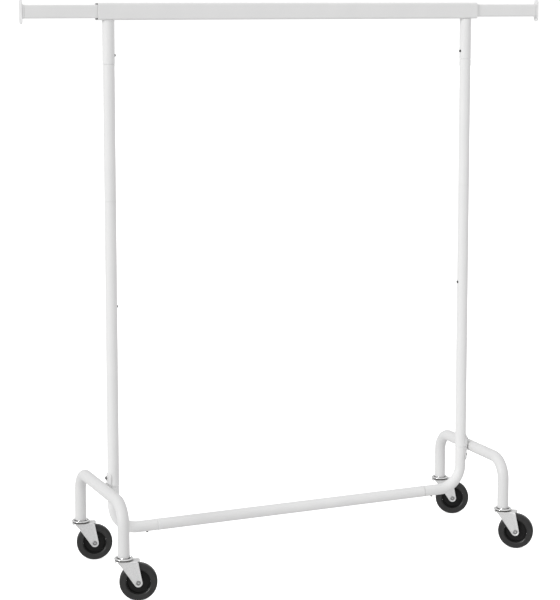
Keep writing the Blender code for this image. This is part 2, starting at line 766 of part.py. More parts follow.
def centre_footprint(root):
    """Moves the root so that the middle of the footprint's box is at X = Y = 0."""
    bpy.context.view_layer.update()
    pieces = [obj for obj in rack.objects if obj.data]
    corners = [obj.matrix_world @ vertex.co for obj in pieces for vertex in obj.data.vertices]
    for axis in (0, 1):
        places = [corner[axis] for corner in corners]
        root.location[axis] -= (min(places) + max(places)) / 2


clear_scene()
rack = new_collection("rolling_clothes_rack")
workshop = new_collection("workshop")
paint = {name: new_material(name) for name in MATERIALS}
rack_root = empty("rack_root", None)
build_rail(rack_root)
place("bottom_bar", bottom_bar_mesh(), "upright_paint", rack_root, (0, 0, BAR_Z))
build_sides(rack_root)
build_casters(rack_root)
centre_footprint(rack_root)
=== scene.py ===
import json
from math import acos, atan2, cos, hypot, pi, radians, sin, sqrt

import bmesh
import bpy
from mathutils import Matrix, Vector


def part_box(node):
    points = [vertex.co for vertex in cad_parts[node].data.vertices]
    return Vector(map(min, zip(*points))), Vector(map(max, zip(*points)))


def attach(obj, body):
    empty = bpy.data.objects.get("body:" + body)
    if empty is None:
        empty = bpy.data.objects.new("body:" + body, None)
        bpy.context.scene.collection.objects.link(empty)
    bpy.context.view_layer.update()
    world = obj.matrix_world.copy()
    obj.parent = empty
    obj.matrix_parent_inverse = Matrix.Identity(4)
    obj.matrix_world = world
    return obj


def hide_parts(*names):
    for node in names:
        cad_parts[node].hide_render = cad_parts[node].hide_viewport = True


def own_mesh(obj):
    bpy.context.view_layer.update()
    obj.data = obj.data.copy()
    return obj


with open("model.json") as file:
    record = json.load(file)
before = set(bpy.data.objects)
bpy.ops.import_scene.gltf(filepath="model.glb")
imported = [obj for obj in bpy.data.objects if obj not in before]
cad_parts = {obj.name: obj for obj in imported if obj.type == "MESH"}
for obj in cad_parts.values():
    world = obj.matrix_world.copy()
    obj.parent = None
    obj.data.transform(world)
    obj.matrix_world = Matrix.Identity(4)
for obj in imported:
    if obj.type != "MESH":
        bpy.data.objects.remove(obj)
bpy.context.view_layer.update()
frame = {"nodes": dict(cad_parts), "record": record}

# Thicknesses and small sizes that the frame's boxes don't give, in metres
TUBE_WALL = 0.0012
TUBE_LIP = 0.0005
RAIL_WALL = 0.0015
RAIL_CORNER_R = 0.006
ROD_CORNER_R = 0.004
SWAGE_LENGTH = 0.045
SWAGE_SHOULDER = 0.003
CORNER_TUBE_R = 0.0162
CORNER_BEND_R = 0.070
LEG_BEND_R = 0.058
WELD_R = 0.0030
WELD_RIPPLE = 0.0001
WELD_RIPPLES = 14
HOLE_R = 0.0039
SADDLE_HALF_ANGLE = radians(55)
SADDLE_TAPER = 0.006
SUPPORT = 0.0006  # from an edge to the ring that keeps the face beside it flat
# height below which the race's chrome is painted dark: painted shade in its groove and under its ring
PAINTED_SHADE_Z = 0.1163

# Fineness of the round shapes
TUBE_SIDES = 48
BEND_STEPS = 24
CORNER_STEPS = 8
TURNED_STEPS = 64
WHEEL_STEPS = 96

# Camera and light
CAMERA_PLACE = (-2.0867, -4.6267, 1.6130)
CAMERA_AZIMUTH = radians(23.725)
CAMERA_TILT = radians(6.695)
CAMERA_LENS = 107.0
CAMERA_SHIFT_Y = -0.15
KEY_AZIMUTH = radians(72)
KEY_HEIGHT = radians(18)
KEY_STRENGTH = 0.98
KEY_SPREAD = radians(14)
SKY_AZIMUTH = radians(15)
SKY_HEIGHT = radians(35)
ROOM_LIGHT = 0.70
ROOM_SLOPE = 0.25
HORIZON_DIM = 0.80
HORIZON_REACH = 0.30
FLOOR_GLOW = 0.8
BACKDROP_GLOW = 1.05
STAGE_R = 40.0

UP = Vector((0, 0, 1))
RECORD = frame["record"]
BODY_OF = {node: body for body, nodes in RECORD["behaviour"]["bodies"].items() for node in nodes}
SLOT_OF = {row["node"]: row["material_slot"] for row in RECORD["subparts"]}


# Where things are, read from the frame


def middle(node):
    low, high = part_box(node)
    return (low + high) / 2


def extent(node):
    low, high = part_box(node)
    return high - low


PLANE_Y = middle("rail_sleeve").y
UPRIGHT_X = middle("upright_lower_right").x
TUBE_R = extent("upright_lower_right").x / 2
SWAGE_R = extent("upright_spigot_right").x / 2
FOOT_SEAM_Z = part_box("upright_lower_right")[0].z
MID_SEAM_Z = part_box("upright_upper_right")[0].z
TOP_SEAM_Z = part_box("rail_stub_right")[0].z
BAR_Z = middle("bottom_bar").z
BAR_END_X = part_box("bottom_bar")[1].x
CORNER_END_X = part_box("corner_tube_right")[0].x
LEG_X = middle("leg_right").x
LEG_HALF = extent("leg_right").y / 2 - TUBE_R
LEG_TOP_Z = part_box("leg_right")[1].z - TUBE_R
LEG_BOTTOM_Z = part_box("leg_right")[0].z
RAIL_BOTTOM_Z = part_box("rail_sleeve")[0].z


# Meshes


def skin(rings, closed=False):
    """A surface through rings of points. Closed joins the last ring to the first, else each end is filled."""
    mesh = bpy.data.meshes.new("skin")
    work = bmesh.new()
    loops = [[work.verts.new(point) for point in ring] for ring in rings]
    pairs = list(zip(loops, loops[1:]))
    if closed:
        pairs.append((loops[-1], loops[0]))
    for first, second in pairs:
        for index, corner in enumerate(first):
            after = (index + 1) % len(first)
            work.faces.new((corner, first[after], second[after], second[index]))
    if not closed:
        work.faces.new(loops[0])
        work.faces.new(loops[-1])
    bmesh.ops.remove_doubles(work, verts=work.verts, dist=1e-6)
    bmesh.ops.recalc_face_normals(work, faces=work.faces)
    work.to_mesh(mesh)
    work.free()
    return mesh


def joined(meshes):
    """One mesh that holds all of these shells."""
    work = bmesh.new()
    for mesh in meshes:
        work.from_mesh(mesh)
    result = bpy.data.meshes.new("joined")
    work.to_mesh(result)
    work.free()
    return result


def moved(mesh, matrix):
    """The same mesh, moved by the matrix."""
    mesh.transform(matrix)
    if matrix.determinant() < 0:
        mesh.flip_normals()
    return mesh


def circle(centre, across, upwards, radius, sides=TUBE_SIDES):
    turns = [2 * pi * index / sides for index in range(sides)]
    return [centre + across * (radius * cos(turn)) + upwards * (radius * sin(turn)) for turn in turns]


def supported(outline, closed=True):
    """The outline with a point added close to each end of its long edges, which keeps them flat."""
    result = []
    for index, point in enumerate(outline):
        result.append(tuple(point))
        if not closed and index == len(outline) - 1:
            break
        here, there = Vector(point), Vector(outline[(index + 1) % len(outline)])
        length = (there - here).length
        if length > 5 * SUPPORT:
            step = (there - here) * (SUPPORT / length)
            result += [tuple(here + step), tuple(there - step)]
    return result


def tube(path, flat_normal, radii, holes=()):
    """A hollow round tube along a flat path, with rounded lips. The radii are given per point.

    Each hole is a (point on the axis, direction) pair and is drilled through one wall.
    """
    stations = supported([(*point, radius) for point, radius in zip(path, radii)], closed=False)
    for point, _ in holes:
        stations = beside_hole(stations, Vector(point))
    path = [Vector(station[:3]) for station in stations]
    radii = [station[3] for station in stations]
    outer, inner = [], []
    last = len(path) - 1
    for index, (point, radius) in enumerate(zip(path, radii)):
        along = (path[min(index + 1, last)] - path[max(index - 1, 0)]).normalized()
        across = flat_normal.cross(along).normalized()
        if index in (0, last):
            inwards = along if index == 0 else -along
            lip = [
                circle(point + inwards * depth, flat_normal, across, radius - inset)
                for depth, inset in ((0, TUBE_LIP), (TUBE_LIP * 0.3, TUBE_LIP * 0.3), (TUBE_LIP, 0))
            ]
            outer += lip if index == 0 else reversed(lip)
        else:
            outer.append(circle(point, flat_normal, across, radius))
        inner.append(circle(point, flat_normal, across, radius - TUBE_WALL))
    mesh = skin(outer + inner[::-1], closed=True)
    if not holes:
        return mesh
    return cut(mesh, [drill(Vector(point), Vector(direction), radii[0]) for point, direction in holes])


def beside_hole(stations, point):
    """The stations with one more on each side of a hole, so that the tube stays round beside it."""
    result = [stations[0]]
    for before, after in zip(stations, stations[1:]):
        start, end = Vector(before[:3]), Vector(after[:3])
        along = end - start
        share = (point - start).dot(along) / along.dot(along)
        if 0 < share < 1:
            for offset in (-2 * HOLE_R, 2 * HOLE_R):
                place = start + along * (share + offset / along.length)
                result.append((*place, before[3]))
        result.append(after)
    return result


def drill(point, direction, reach):
    """A rod that runs from half the reach to one and a half times the reach, out from the point."""
    work = bmesh.new()
    turn = UP.rotation_difference(direction).to_matrix().to_4x4()
    matrix = Matrix.Translation(point + direction * reach) @ turn
    bmesh.ops.create_cone(
        work, cap_ends=True, segments=32, radius1=HOLE_R, radius2=HOLE_R, depth=reach, matrix=matrix
    )
    mesh = bpy.data.meshes.new("drill")
    work.to_mesh(mesh)
    work.free()
    return mesh


def fillet(points, radius, steps=CORNER_STEPS, closed=True):
    """The outline with each corner rounded. A point may carry a radius of its own as a third number."""
    outline = []
    count = len(points)
    for index, point in enumerate(points):
        here = Vector(point[:2])
        if not closed and index in (0, count - 1):
            outline.append(tuple(here))
            continue
        size = point[2] if len(point) > 2 else radius
        before = (Vector(points[index - 1][:2]) - here).normalized()
        after = (Vector(points[(index + 1) % count][:2]) - here).normalized()
        half = before.angle(after) / 2
        if size <= 0 or half > pi / 2 - 0.01:
            outline.append(tuple(here))
            continue
        reach = size / sin(half)
        centre = here + (before + after).normalized() * reach
        trim = sqrt(max(reach * reach - size * size, 0))
        start, end = here + before * trim - centre, here + after * trim - centre
        sweep = start.angle_signed(end)
        for step in range(steps + 1):
            turned_by = Matrix.Rotation(-sweep * step / steps, 2)
            outline.append(tuple(centre + turned_by @ start))
    return outline


def rounded_rectangle(width, height, radius):
    x, y = width / 2, height / 2
    return supported(fillet(((x, y), (-x, y), (-x, -y), (x, -y)), radius))


def rectangle_ring(x, width, height, radius):
    """A rounded rectangle across the X axis, its width along Y."""
    return [Vector((x, across, up)) for across, up in rounded_rectangle(width, height, radius)]


def turned(profile, steps=TURNED_STEPS):
    """A shape turned about Z from (radius, height) points, a ring if they start off the axis."""
    across, upwards = Vector((1, 0, 0)), Vector((0, 1, 0))
    profile = supported(profile, closed=False)
    on_axis = 1e-5
    rings = [circle(UP * height, across, upwards, max(radius, on_axis), steps) for radius, height in profile]
    return skin(rings, closed=profile[0][0] > on_axis)


def quarter_bend(centre, first, second, radius):
    """Points on a quarter circle that starts towards first and ends towards second."""
    turns = [pi / 2 * index / BEND_STEPS for index in range(BEND_STEPS + 1)]
    return [centre + (first * cos(turn) + second * sin(turn)) * radius for turn in turns]


ALONG_X = Matrix.Rotation(pi / 2, 4, "Y")
AGAINST_X = Matrix.Rotation(-pi / 2, 4, "Y")
ALONG_Y = Matrix.Rotation(-pi / 2, 4, "X")


# Materials, one for each slot of the record


class Paint:
    """A Principled material with helpers for procedural detail."""

    def __init__(self, name, roughness, metallic=0.0, specular=0.5):
        self.material = bpy.data.materials.new(name)
        self.material.use_nodes = True
        self.nodes = self.material.node_tree.nodes
        self.links = self.material.node_tree.links
        self.shader = self.nodes["Principled BSDF"]
        self.shader.inputs["Roughness"].default_value = roughness
        self.shader.inputs["Metallic"].default_value = metallic
        self.shader.inputs["Specular IOR Level"].default_value = specular
        self.place = self.nodes.new("ShaderNodeTexCoord").outputs["Object"]

    def noise(self, scale, detail=3.0, stretch=None):
        place = self.place
        if stretch:
            mapping = self.nodes.new("ShaderNodeMapping")
            mapping.inputs["Scale"].default_value = stretch
            self.links.new(place, mapping.inputs["Vector"])
            place = mapping.outputs["Vector"]
        node = self.nodes.new("ShaderNodeTexNoise")
        node.inputs["Scale"].default_value = scale
        node.inputs["Detail"].default_value = detail
        self.links.new(place, node.inputs["Vector"])
        return node.outputs["Fac"]

    def cells(self, scale):
        node = self.nodes.new("ShaderNodeTexVoronoi")
        node.inputs["Scale"].default_value = scale
        self.links.new(self.place, node.inputs["Vector"])
        return node.outputs["Color"]

    def colour(self, source, dark, light, low=0.3, high=0.7):
        ramp = self.nodes.new("ShaderNodeValToRGB")
        ramp.color_ramp.elements[0].position = low
        ramp.color_ramp.elements[0].color = (*dark, 1)
        ramp.color_ramp.elements[1].position = high
        ramp.color_ramp.elements[1].color = (*light, 1)
        self.links.new(source, ramp.inputs["Fac"])
        self.links.new(ramp.outputs["Color"], self.shader.inputs["Base Color"])

    def roughness(self, source, low, high):
        spread = self.nodes.new("ShaderNodeMapRange")
        spread.inputs["To Min"].default_value = low
        spread.inputs["To Max"].default_value = high
        self.links.new(source, spread.inputs["Value"])
        self.links.new(spread.outputs["Result"], self.shader.inputs["Roughness"])

    def bump(self, source, strength, distance):
        node = self.nodes.new("ShaderNodeBump")
        node.inputs["Strength"].default_value = strength
        node.inputs["Distance"].default_value = distance
        self.links.new(source, node.inputs["Height"])
        self.links.new(node.outputs["Normal"], self.shader.inputs["Normal"])


def grey(level, warmth=0.0):
    return (level * (1 + warmth), level, level * (1 - warmth))


def powder_coat(name, level):
    """Satin powder coat: faint orange peel, and a colour that drifts a little over the tube."""
    paint = Paint(name, 0.4, specular=0.4)
    paint.colour(paint.noise(14, 4), grey(level * 0.985), grey(level * 1.01, 0.002))
    paint.roughness(paint.noise(120, 2), 0.36, 0.48)
    paint.bump(paint.noise(650, 2), 0.12, 0.0004)
    return paint.material


def moulded_plastic(name, level, roughness, specular=0.5):
    """Moulded plastic with a fine eroded grain."""
    paint = Paint(name, roughness, specular=specular)
    paint.colour(paint.noise(35, 4), grey(level * 0.93), grey(level * 1.05))
    paint.roughness(paint.noise(200, 2), roughness - 0.06, roughness + 0.08)
    paint.bump(paint.noise(900, 3), 0.2, 0.0003)
    return paint.material


def rubber(name):
    """Matte rubber, greyed by dust in patches, with a faint moulded grain."""
    paint = Paint(name, 0.4, specular=0.5)
    paint.colour(paint.noise(60, 5), grey(0.012), grey(0.022, 0.01), 0.35, 0.75)
    paint.roughness(paint.noise(150, 3), 0.26, 0.40)
    paint.bump(paint.noise(1100, 3), 0.3, 0.0003)
    return paint.material


def metal(name, level, low, high, spangle=0.0, metallic=1.0):
    """Bare or plated metal: slow patches of tone, fine rolling marks, and spangle on zinc.

    The roughness runs from low to high.
    """
    paint = Paint(name, (low + high) / 2, metallic=metallic)
    source = paint.cells(600) if spangle else paint.noise(45, 4)
    paint.colour(source, grey(level * (0.95 - spangle)), grey(level * (1.03 + spangle)), 0.2, 0.8)
    paint.roughness(paint.noise(90, 4, (1, 1, 9)), low, high)
    paint.bump(paint.noise(500, 3, (1, 1, 6)), 0.08, 0.0003)
    return paint.material


def chrome_with_painted_shade(name, level):
    """Bright plating, painted dark below a height: painted shade in the race's groove and under its ring."""
    material = metal(name, level, 0.08, 0.2)
    # near-black colour low on the race: painted shade in its groove and under its ring
    shade_colour, blur = (0.07, 0.068, 0.064, 1), 0.0004
    nodes, links = material.node_tree.nodes, material.node_tree.links
    shader = nodes["Principled BSDF"]
    bright = shader.inputs["Base Color"].links[0].from_socket
    parts = nodes.new("ShaderNodeSeparateXYZ")
    links.new(nodes["Texture Coordinate"].outputs["Object"], parts.inputs["Vector"])
    reach = nodes.new("ShaderNodeMapRange")
    reach.inputs["From Min"].default_value = PAINTED_SHADE_Z - blur
    reach.inputs["From Max"].default_value = PAINTED_SHADE_Z + blur
    links.new(parts.outputs["Z"], reach.inputs["Value"])
    mix = nodes.new("ShaderNodeMix")
    mix.data_type = "RGBA"
    mix.inputs["A"].default_value = shade_colour
    links.new(reach.outputs["Result"], mix.inputs["Factor"])
    links.new(bright, mix.inputs["B"])
    links.new(mix.outputs["Result"], shader.inputs["Base Color"])
    return material


def make_materials():
    """The look of each slot. The first number is how light it is."""
    return {
        # the rail and rod coats are painted lighter, and the leg coat darker, than the uprights' coat of the
        # same white: painted light and painted shade
        "rail_paint": powder_coat("rail_paint_look", 0.87),
        "rod_paint": powder_coat("rod_paint_look", 0.87),
        "upright_paint": powder_coat("upright_paint_look", 0.85),
        "leg_paint": powder_coat("leg_paint_look", 0.78),
        "cap_plastic": moulded_plastic("cap_plastic_look", 0.84, 0.42),
        "bushing_plastic": moulded_plastic("bushing_plastic_look", 0.12, 0.5),
        "button_steel": metal("button_steel_look", 0.05, 0.3, 0.5, metallic=0.6),
        "spring_steel": metal("spring_steel_look", 0.40, 0.3, 0.45),
        "bolt_steel": metal("bolt_steel_look", 0.2, 0.3, 0.5),
        "race_chrome": chrome_with_painted_shade("race_chrome_look", 0.84),
        "fork_zinc": metal("fork_zinc_look", 0.82, 0.34, 0.5, spangle=0.02, metallic=0.7),
        "tyre_rubber": rubber("tyre_rubber_look"),
        "hub_plastic": moulded_plastic("hub_plastic_look", 0.008, 0.45, specular=0.2),
        "axle_steel": metal("axle_steel_look", 0.28, 0.3, 0.45),
    }


def stand_for(node, mesh, matrix=None):
    """Puts the mesh in place as the finished form of a CAD node."""
    if not mesh.materials:
        mesh.materials.append(LOOKS[SLOT_OF[node]])
        mesh.shade_smooth()
        mesh.set_sharp_from_angle(angle=radians(35))
    piece = bpy.data.objects.new("fine_" + node, mesh)
    bpy.context.scene.collection.objects.link(piece)
    piece.matrix_world = matrix or Matrix.Identity(4)
    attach(piece, BODY_OF[node])
    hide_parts(node)
    return piece


def side_frame(side, x=UPRIGHT_X, z=0.0):
    """The place on one side of the rack where a piece made for the right side goes."""
    turn = Matrix.Identity(4) if side > 0 else Matrix.Rotation(pi, 4, "Z")
    return Matrix.Translation((side * x, PLANE_Y, z)) @ turn


SIDES = ((-1, "left"), (1, "right"))


# Rail


def tube_lips(length):
    """(distance in from the end, inset) along a rectangular tube with rounded lips."""
    lip = ((0, TUBE_LIP), (TUBE_LIP * 0.3, TUBE_LIP * 0.3), (TUBE_LIP, 0), (TUBE_LIP + SUPPORT, 0))
    half = length / 2
    return [(-half + depth, inset) for depth, inset in lip] + [
        (half - depth, inset) for depth, inset in reversed(lip)
    ]


def rectangular_tube(length, depth, height, radius, wall):
    """A rectangular tube along X, centred on the origin, its depth along Y."""
    outer = [
        rectangle_ring(x, depth - 2 * inset, height - 2 * inset, radius - inset)
        for x, inset in tube_lips(length)
    ]
    inner_size = (depth - 2 * wall, height - 2 * wall, radius - wall)
    inner = [rectangle_ring(x, *inner_size) for x in (length / 2, -length / 2)]
    return skin(outer + inner, closed=True)


def build_rail():
    """The sleeve, and at each end a guide bushing, a pull-out rod and its cap."""
    clearance = 0.0003
    size = extent("rail_sleeve")
    sleeve = rectangular_tube(size.x, size.y, size.z, RAIL_CORNER_R, RAIL_WALL)
    stand_for("rail_sleeve", sleeve, Matrix.Translation(middle("rail_sleeve")))
    for side, name in SIDES:
        size = extent("rail_bushing_" + name)
        rod = extent("extension_rod_" + name)
        wall = (size.y - rod.y) / 2 - clearance
        bushing = rectangular_tube(size.x, size.y, size.z, RAIL_CORNER_R - RAIL_WALL, wall)
        stand_for("rail_bushing_" + name, bushing, Matrix.Translation(middle("rail_bushing_" + name)))
        pull_rod = rectangular_tube(rod.x, rod.y, rod.z, ROD_CORNER_R, TUBE_WALL)
        stand_for("extension_rod_" + name, pull_rod, Matrix.Translation(middle("extension_rod_" + name)))
        build_end_cap(side, name)


def build_end_cap(side, name):
    """Obround flange with a rounded rim, a flared neck, and a plug inside the rod."""
    size = extent("end_cap_" + name)
    rod = extent("extension_rod_" + name)
    round_end = size.y / 2 - 0.0002
    rim, flange, neck, plug = 0.0011, 0.0030, 0.0090, 0.0289
    flange_rings = [
        (0.0, 2 * rim, rim),
        (0.0003, rim, rim / 2),
        (rim, 0, 0),
        (2 * rim, 0, 0),
        (flange - 0.0001, rim, rim / 2),
    ]
    neck_rings = [
        (flange, 0.0012, 0.0080, 0.0026),
        (flange + 0.0010, 0.0006, 0.0045, 0.0016),
        (flange + 0.0025, 0.0002, 0.0016, 0.0006),
        (neck - 0.0010, 0, 0, 0),
        (neck - 0.0001, 0, 0, 0),
        (neck, -0.0032, -0.0032, -0.0016),
        (plug - 0.0009, -0.0036, -0.0036, -0.0018),
        (plug, -0.0060, -0.0060, -0.0025),
    ]
    rings = [
        rectangle_ring(-depth, size.y - less, size.z - less, round_end - less_corner)
        for depth, less, less_corner in flange_rings
    ]
    rings += [
        rectangle_ring(-depth, rod.y + wider, rod.z + higher, ROD_CORNER_R + rounder)
        for depth, wider, higher, rounder in neck_rings
    ]
    cap = skin(rings)
    face_x = max(abs(corner.x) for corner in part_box("end_cap_" + name))
    height = middle("end_cap_" + name).z
    stand_for("end_cap_" + name, cap, side_frame(side, face_x, height))


# Uprights, corner tubes and bottom bar


def straight(low, high, radius, swage_above=0.0, hole_z=None):
    """A vertical tube, with a narrower swaged end above the seam if asked."""
    holes = [] if hole_z is None else [((0, 0, hole_z), (-1, 0, 0))]
    if swage_above:
        path = [(0, 0, z) for z in (low, high - SWAGE_SHOULDER, high, high + swage_above)]
        return tube(path, Vector((0, 1, 0)), (radius, radius, SWAGE_R, SWAGE_R))
    return tube([(0, 0, low), (0, 0, high)], Vector((0, 1, 0)), (radius, radius), holes=holes)


def weld_ring(radius, height):
    """The weld between a tube's end and the flat face above it: a rippled bead that closes the tube."""
    core, lining, bulge = radius - 0.0006, 0.0015, 0.0010
    hole_r = 0.3 * core
    section = (
        (hole_r, lining),
        (hole_r, 0.0001),
        (core - bulge, 0.0001),
        (core + 0.3 * bulge, 0.0004),
        (core + bulge, 0.0012),
        (core + 1.3 * bulge, WELD_R * 0.8),
        (core + bulge, WELD_R),
        (core, WELD_R + 0.0004),
        (core, lining),
    )
    rings = []
    for reach, drop in section:
        depth = WELD_RIPPLE if reach > core + bulge / 2 else 0.0
        ring = []
        for step in range(TURNED_STEPS):
            angle = 2 * pi * step / TURNED_STEPS
            out = reach + depth * sin(angle * WELD_RIPPLES)
            ring.append(Vector((out * cos(angle), out * sin(angle), height - drop)))
        rings.append(ring)
    return skin(rings, closed=True)


def build_uprights():
    """On each side the stub under the rail, the upright's two lengths, and the corner tube."""
    gap = MID_SEAM_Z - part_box("upright_lower_right")[1].z
    stub_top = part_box("rail_stub_right")[1].z
    top_z, middle_z = (middle("snap_button_" + level + "_right").z for level in ("top", "middle"))
    stub_tube = straight(TOP_SEAM_Z, stub_top, TUBE_R, hole_z=top_z)
    stub = joined([stub_tube, weld_ring(TUBE_R, RAIL_BOTTOM_Z)])
    pieces = {
        "rail_stub_": stub,
        "upright_upper_": straight(MID_SEAM_Z, TOP_SEAM_Z - gap, TUBE_R, SWAGE_LENGTH),
        "upright_lower_": straight(FOOT_SEAM_Z, MID_SEAM_Z - gap, TUBE_R, hole_z=middle_z),
        "corner_tube_": corner_tube(gap),
    }
    for side, name in SIDES:
        for prefix, mesh in pieces.items():
            stand_for(prefix + name, mesh, side_frame(side))


def corner_tube(gap):
    """The bent tube at a lower corner, swaged to plug into the upright above it."""
    seam = FOOT_SEAM_Z - gap
    path = [Vector((0, 0, z)) for z in (seam + SWAGE_LENGTH, seam, seam - SWAGE_SHOULDER)]
    centre = Vector((-CORNER_BEND_R, 0, BAR_Z + CORNER_BEND_R))
    path += quarter_bend(centre, Vector((1, 0, 0)), Vector((0, 0, -1)), CORNER_BEND_R)
    path.append(Vector((CORNER_END_X - UPRIGHT_X, 0, BAR_Z)))
    radii = [SWAGE_R, SWAGE_R] + [CORNER_TUBE_R] * (len(path) - 2)
    button_x = middle("snap_button_bar_right").x - UPRIGHT_X
    return tube(path, Vector((0, 1, 0)), radii, holes=[((button_x, 0, BAR_Z), (0, 0, -1))])


def build_bottom_bar():
    """The bar between the corner tubes, its swaged ends inside them."""
    gap = 0.0003
    seam = CORNER_END_X - gap
    narrow = CORNER_TUBE_R - 0.0016
    half = (BAR_END_X, seam, seam - SWAGE_SHOULDER)
    path = [(-x, 0, 0) for x in half] + [(x, 0, 0) for x in reversed(half)]
    radii = (narrow, narrow, TUBE_R, TUBE_R, narrow, narrow)
    bar = tube(path, Vector((0, 1, 0)), radii)
    stand_for("bottom_bar", bar, Matrix.Translation(middle("bottom_bar")))


# Legs and saddles


def leg_mesh():
    """The inverted-U tube, open at its two feet."""
    up, front, back = Vector((0, 0, 1)), Vector((0, -1, 0)), Vector((0, 1, 0))
    bend_z = LEG_TOP_Z - LEG_BEND_R
    path = [Vector((0, -LEG_HALF, LEG_BOTTOM_Z))]
    path += quarter_bend(Vector((0, LEG_BEND_R - LEG_HALF, bend_z)), front, up, LEG_BEND_R)
    path += quarter_bend(Vector((0, LEG_HALF - LEG_BEND_R, bend_z)), up, back, LEG_BEND_R)
    path.append(Vector((0, LEG_HALF, LEG_BOTTOM_Z)))
    return tube(path, Vector((1, 0, 0)), [TUBE_R] * len(path))


def leg_weld(height_sign):
    """A bead along the corner between the leg and the saddle."""
    saddle_outer = LEG_X - UPRIGHT_X - TUBE_R
    steps, half_angle, bead_r, ripple, waves = 24, 24, 0.0029, 0.10, 40
    lowest, rise, out = 0.0062, 0.02, 0.0008
    rings = []
    for index in range(steps + 1):
        share = index / steps
        angle = radians(2 * half_angle * share - half_angle)
        swell = sqrt(max(1 - (2 * share - 1) ** 4, 0.02))
        size = bead_r * swell * (1 + ripple * sin(share * waves))
        lift = lowest + (1 - cos(angle)) * rise
        centre = Vector((saddle_outer * cos(angle) + out, saddle_outer * sin(angle), height_sign * lift))
        rings.append(circle(centre, Vector((cos(angle), sin(angle), 0)), UP, size, 16))
    return skin(rings)


def saddle_mesh():
    """A plate curved round the upright, with rounded edges and ends that thin out."""
    half = extent("leg_saddle_right").z / 2
    gap = 0.0003
    inner = TUBE_R + gap
    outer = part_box("leg_saddle_right")[1].x - UPRIGHT_X
    sharp, soft, inset = 0.0003, 0.003, 0.0004
    upper = ((inner, half - inset, sharp), (outer, half - SADDLE_TAPER, soft))
    lower = [(radius, -height, size) for radius, height, size in reversed(upper)]
    section = fillet([*upper, *lower], sharp, 6)
    steps, rounded_part, narrowing = 40, 0.28, 0.10
    rings = []
    for index in range(steps + 1):
        angle = SADDLE_HALF_ANGLE * (2 * index / steps - 1)
        near_end = max(abs(angle) / SADDLE_HALF_ANGLE - (1 - rounded_part), 0) / rounded_part
        shrink = 1 - narrowing * near_end * near_end
        rings.append([Vector((r * cos(angle), r * sin(angle), z * shrink)) for r, z in section])
    return joined([skin(rings), leg_weld(1), leg_weld(-1)])


def screw_mesh():
    """A pan-head screw along +X, out of the upright, with a cross recess."""
    low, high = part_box("saddle_bolt_upper_right")
    head = (high.z - low.z) / 2
    seat = LEG_X - UPRIGHT_X - TUBE_R
    top = high.x - UPRIGHT_X
    tip = low.x - UPRIGHT_X
    shank, chamfer = head * 0.58, 0.001
    shoulder, recess_depth, recess_length, recess_width = 0.0016, 0.0016, 0.0062, 0.0013
    side = fillet(
        ((0, top), (head * 0.55, top, 0.004), (head, top - shoulder, 0.001), (head, seat), (shank, seat)),
        0.0002,
        5,
        closed=False,
    )
    profile = side + [(shank, tip + chamfer), (shank - chamfer, tip), (0, tip)]
    body = moved(turned(profile, 48), ALONG_X)
    slots = ((recess_depth, recess_length, recess_width), (recess_depth, recess_width, recess_length))
    return cut(body, [cutter(slot, top) for slot in slots])


def cutter(size, top):
    """A block that reaches down from the screw's top by the size's first number."""
    work = bmesh.new()
    scale = Matrix.Diagonal((size[0] * 2, size[1], size[2], 1))
    bmesh.ops.create_cube(work, size=1, matrix=Matrix.Translation((top, 0, 0)) @ scale)
    mesh = bpy.data.meshes.new("slot")
    work.to_mesh(mesh)
    work.free()
    return mesh


def cut(mesh, tools):
    """The mesh with each tool cut from it."""
    base = bpy.data.objects.new("base", mesh)
    others = [bpy.data.objects.new("tool", tool) for tool in tools]
    for obj in (base, *others):
        bpy.context.scene.collection.objects.link(obj)
    for other in others:
        step = base.modifiers.new("Cut", "BOOLEAN")
        step.operation = "DIFFERENCE"
        step.solver = "EXACT"
        step.object = other
    graph = bpy.context.evaluated_depsgraph_get()
    result = bpy.data.meshes.new_from_object(base.evaluated_get(graph))
    for obj in (base, *others):
        bpy.data.objects.remove(obj)
    return result


def build_legs():
    """On each side the inverted-U leg, its saddle and the saddle's two screws."""
    leg, saddle, screw = leg_mesh(), saddle_mesh(), screw_mesh()
    for side, name in SIDES:
        stand_for("leg_" + name, leg, side_frame(side, LEG_X))
        stand_for("leg_saddle_" + name, saddle, side_frame(side, UPRIGHT_X, LEG_TOP_Z))
        for level in ("upper_", "lower_"):
            node = "saddle_bolt_" + level + name
            stand_for(node, screw, side_frame(side, UPRIGHT_X, middle(node).z))


# Snap buttons


def snap_button():
    """A domed pin along +Z with a flange inside the tube."""
    radius, dome, tip = 0.0036, 0.0024, 0.0199
    flange, face, back = 0.0048, 0.0120, 0.0108
    profile = fillet(
        (
            (0, tip),
            (radius, tip, dome),
            (radius, face),
            (flange, face, 0.0002),
            (flange, back, 0.0002),
            (0, back),
        ),
        0.0001,
        6,
        closed=False,
    )
    return turned(profile, 40)


def build_buttons():
    """Four buttons that point inwards from the uprights, and two that point down from the bar."""
    pin = moved(snap_button(), AGAINST_X)
    bar_pin = moved(snap_button(), Matrix.Rotation(pi, 4, "X"))
    for side, name in SIDES:
        for level in ("top_", "middle_"):
            node = "snap_button_" + level + name
            stand_for(node, pin, side_frame(side, UPRIGHT_X, middle(node).z))
        node = "snap_button_bar_" + name
        stand_for(node, bar_pin, side_frame(side, abs(middle(node).x), BAR_Z))


def build_springs():
    """Each leaf spring keeps its CAD shape, on a mesh of its own."""
    for side, name in SIDES:
        for level in ("top_", "middle_", "bar_"):
            node = "button_spring_" + level + name
            mesh = frame["nodes"][node].data.copy()
            mesh.materials.clear()
            spring = stand_for(node, mesh)
            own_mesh(spring)


# Casters


